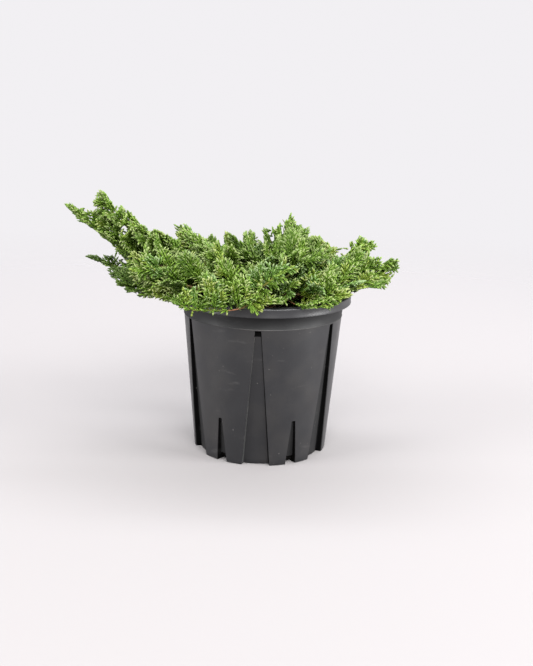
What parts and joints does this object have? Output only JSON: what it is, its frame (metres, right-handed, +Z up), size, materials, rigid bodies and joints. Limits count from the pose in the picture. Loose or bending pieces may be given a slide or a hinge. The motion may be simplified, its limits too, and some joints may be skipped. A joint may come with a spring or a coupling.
{
  "type": "potted creeping conifer",
  "caption": "Low spreading garden conifer with feathery plumes of scale leaves, in a black tapered slit nursery pot filled with potting mix.",
  "frame": {"origin": "centre of the pot's flat underside", "axes": "+Z up through the plant, +X to the right and +Y away from the viewer in the picture's view; the longest plumes reach towards -X"},
  "size_m": [0.3461, 0.2439, 0.263],
  "materials": {
    "pot_plastic": "satin moulded plastic, lightly scuffed",
    "potting_mix": "damp crumbly bark and peat",
    "bark": "thin peeling bark",
    "scale_leaf": "soft green scale leaves"
  },
  "bodies": {
    "root": {"pot": "pot_plastic", "potting_mix": "potting_mix", "trunk": "bark", "bough_left_long": "bark", "plume_left_long": "scale_leaf", "bough_left_upright": "bark", "plume_left_upright": "scale_leaf", "bough_left_low": "bark", "plume_left_low": "scale_leaf", "bough_left_front": "bark", "plume_left_front": "scale_leaf", "bough_front_left": "bark", "plume_front_left": "scale_leaf", "bough_rim_front": "bark", "plume_rim_front": "scale_leaf", "bough_front": "bark", "plume_front": "scale_leaf", "bough_front_right": "bark", "plume_front_right": "scale_leaf", "bough_right_front": "bark", "plume_right_front": "scale_leaf", "bough_right_low": "bark", "plume_right_low": "scale_leaf", "bough_right_long": "bark", "plume_right_long": "scale_leaf", "bough_right_back": "bark", "plume_right_back": "scale_leaf", "bough_back_right": "bark", "plume_back_right": "scale_leaf", "bough_back": "bark", "plume_back": "scale_leaf", "bough_back_left": "bark", "plume_back_left": "scale_leaf", "bough_left_back": "bark", "plume_left_back": "scale_leaf", "bough_rise_left": "bark", "plume_rise_left": "scale_leaf", "bough_rise_back_left": "bark", "plume_rise_back_left": "scale_leaf", "bough_rise_back": "bark", "plume_rise_back": "scale_leaf", "bough_rise_right": "bark", "plume_rise_right": "scale_leaf", "bough_rise_front_right": "bark", "plume_rise_front_right": "scale_leaf", "bough_rise_front": "bark", "plume_rise_front": "scale_leaf", "bough_rise_front_left": "bark", "plume_rise_front_left": "scale_leaf"}
  },
  "joints": []
}
